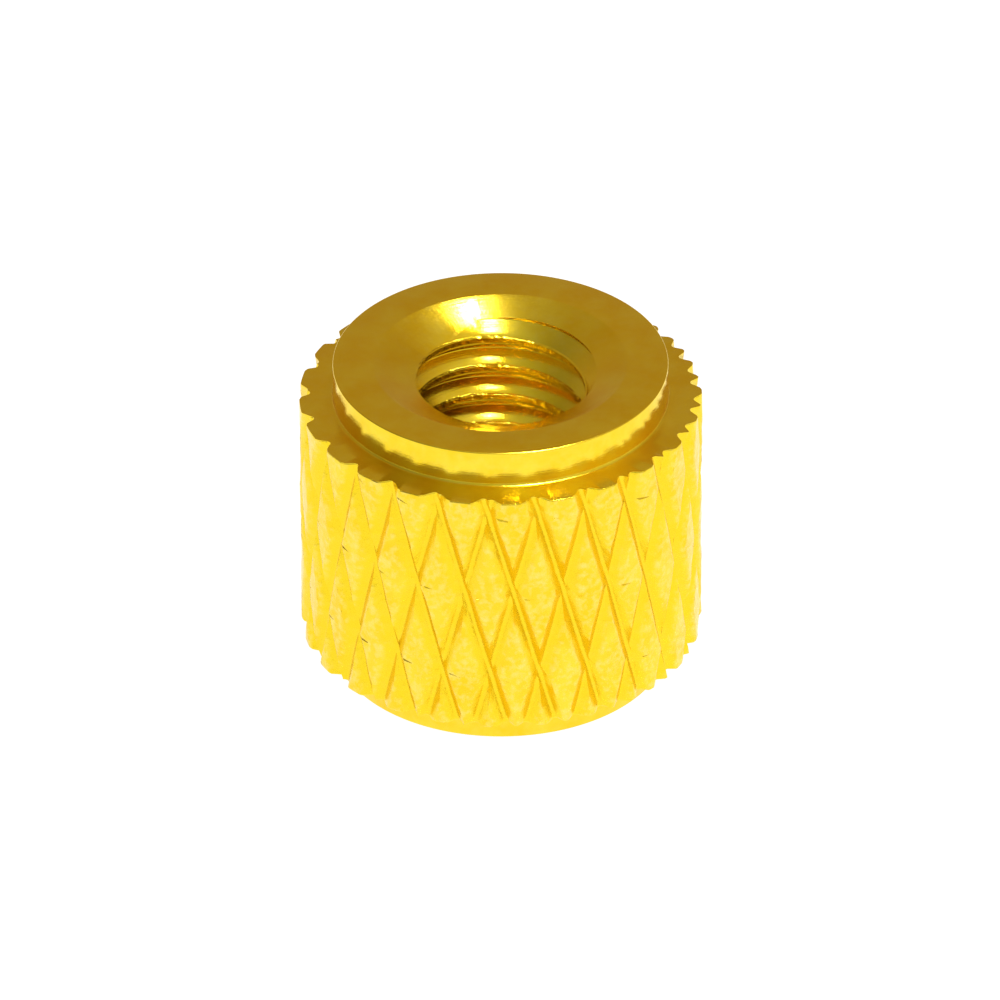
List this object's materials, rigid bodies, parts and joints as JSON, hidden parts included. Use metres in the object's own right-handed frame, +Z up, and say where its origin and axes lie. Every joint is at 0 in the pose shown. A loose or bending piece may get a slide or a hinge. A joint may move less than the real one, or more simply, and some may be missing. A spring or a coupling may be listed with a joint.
{
  "type": "knurled round nut",
  "caption": "Small gold anodised round nut with a crossed knurled grip band, a plain collar at each end and a countersunk threaded hole right through it.",
  "frame": {"origin": "centre of the hole at the lower end face, which the nut stands on", "axes": "+Z up along the hole, towards the countersunk upper end with the taller collar; +X to the right and +Y away from the front"},
  "size_m": [0.006, 0.006, 0.005],
  "materials": {
    "gold_anodised": "gold anodised, turned, satin"
  },
  "bodies": {
    "root": {"knurled_nut": "gold_anodised"}
  },
  "joints": []
}
